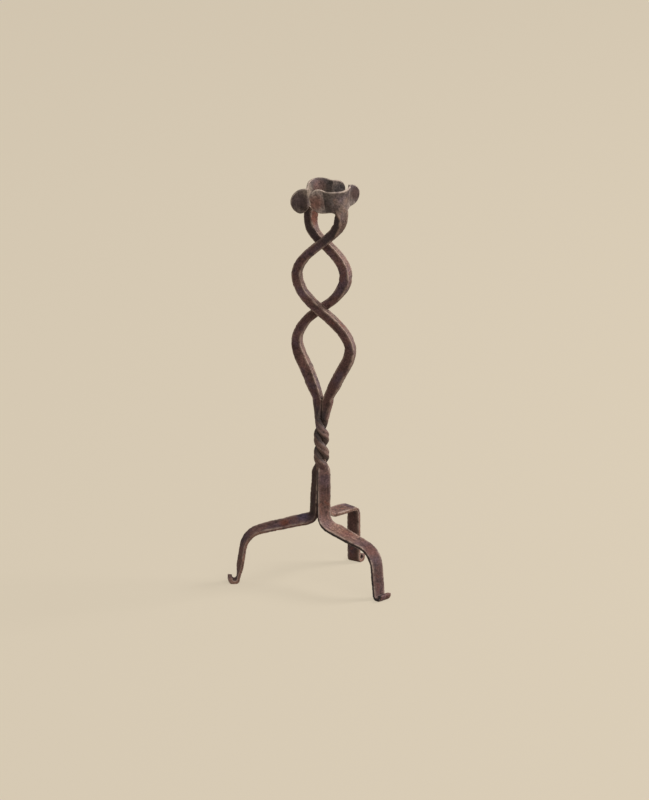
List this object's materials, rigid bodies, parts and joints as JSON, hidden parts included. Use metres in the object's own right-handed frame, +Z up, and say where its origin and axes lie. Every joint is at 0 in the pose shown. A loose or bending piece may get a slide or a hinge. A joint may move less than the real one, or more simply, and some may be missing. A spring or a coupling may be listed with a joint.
{
  "type": "rushlight holder",
  "caption": "Hand-forged iron rushlight holder: two spring arms cross and twist over three curled feet and end in two lobed jaws that grip a candle or rush.",
  "frame": {"origin": "middle of the whole holder's box, on the floor that its feet stand on", "axes": "+Z up; -Y is the side that faces the viewer of the picture; +X to that viewer's right"},
  "size_m": [0.1, 0.0828, 0.2545],
  "materials": {
    "arm_iron": "forged, blackened, with brown rust",
    "cup_iron": "forged sheet, grey-brown, rubbed",
    "leg_iron": "forged, blackened, with red-brown rust"
  },
  "bodies": {
    "stem": {"left_leg": "leg_iron", "front_leg": "leg_iron", "back_leg": "leg_iron", "front_arm_strand": "arm_iron", "rear_arm_strand": "arm_iron"},
    "front_spring_arm": {"front_arm": "arm_iron", "front_jaw": "cup_iron"},
    "rear_spring_arm": {"rear_arm": "arm_iron", "rear_jaw": "cup_iron"}
  },
  "joints": [
    {"name": "front_arm_flex", "type": "hinge", "parent": "stem", "child": "front_spring_arm", "pos_m": [0.01156, -0.0013, 0.117], "axis": [0.342, 0.9397, 0], "range_deg": [0, 1.3], "stiffness_Nm_per_rad": 60},
    {"name": "rear_arm_flex", "type": "hinge", "parent": "stem", "child": "rear_spring_arm", "pos_m": [0.00588, 0.00136, 0.117], "axis": [-0.342, -0.9397, 0], "range_deg": [0, 1.3], "stiffness_Nm_per_rad": 60}
  ],
  "couplings": [
    {"joint": "rear_arm_flex", "follows": "front_arm_flex", "ratio": 1}
  ]
}
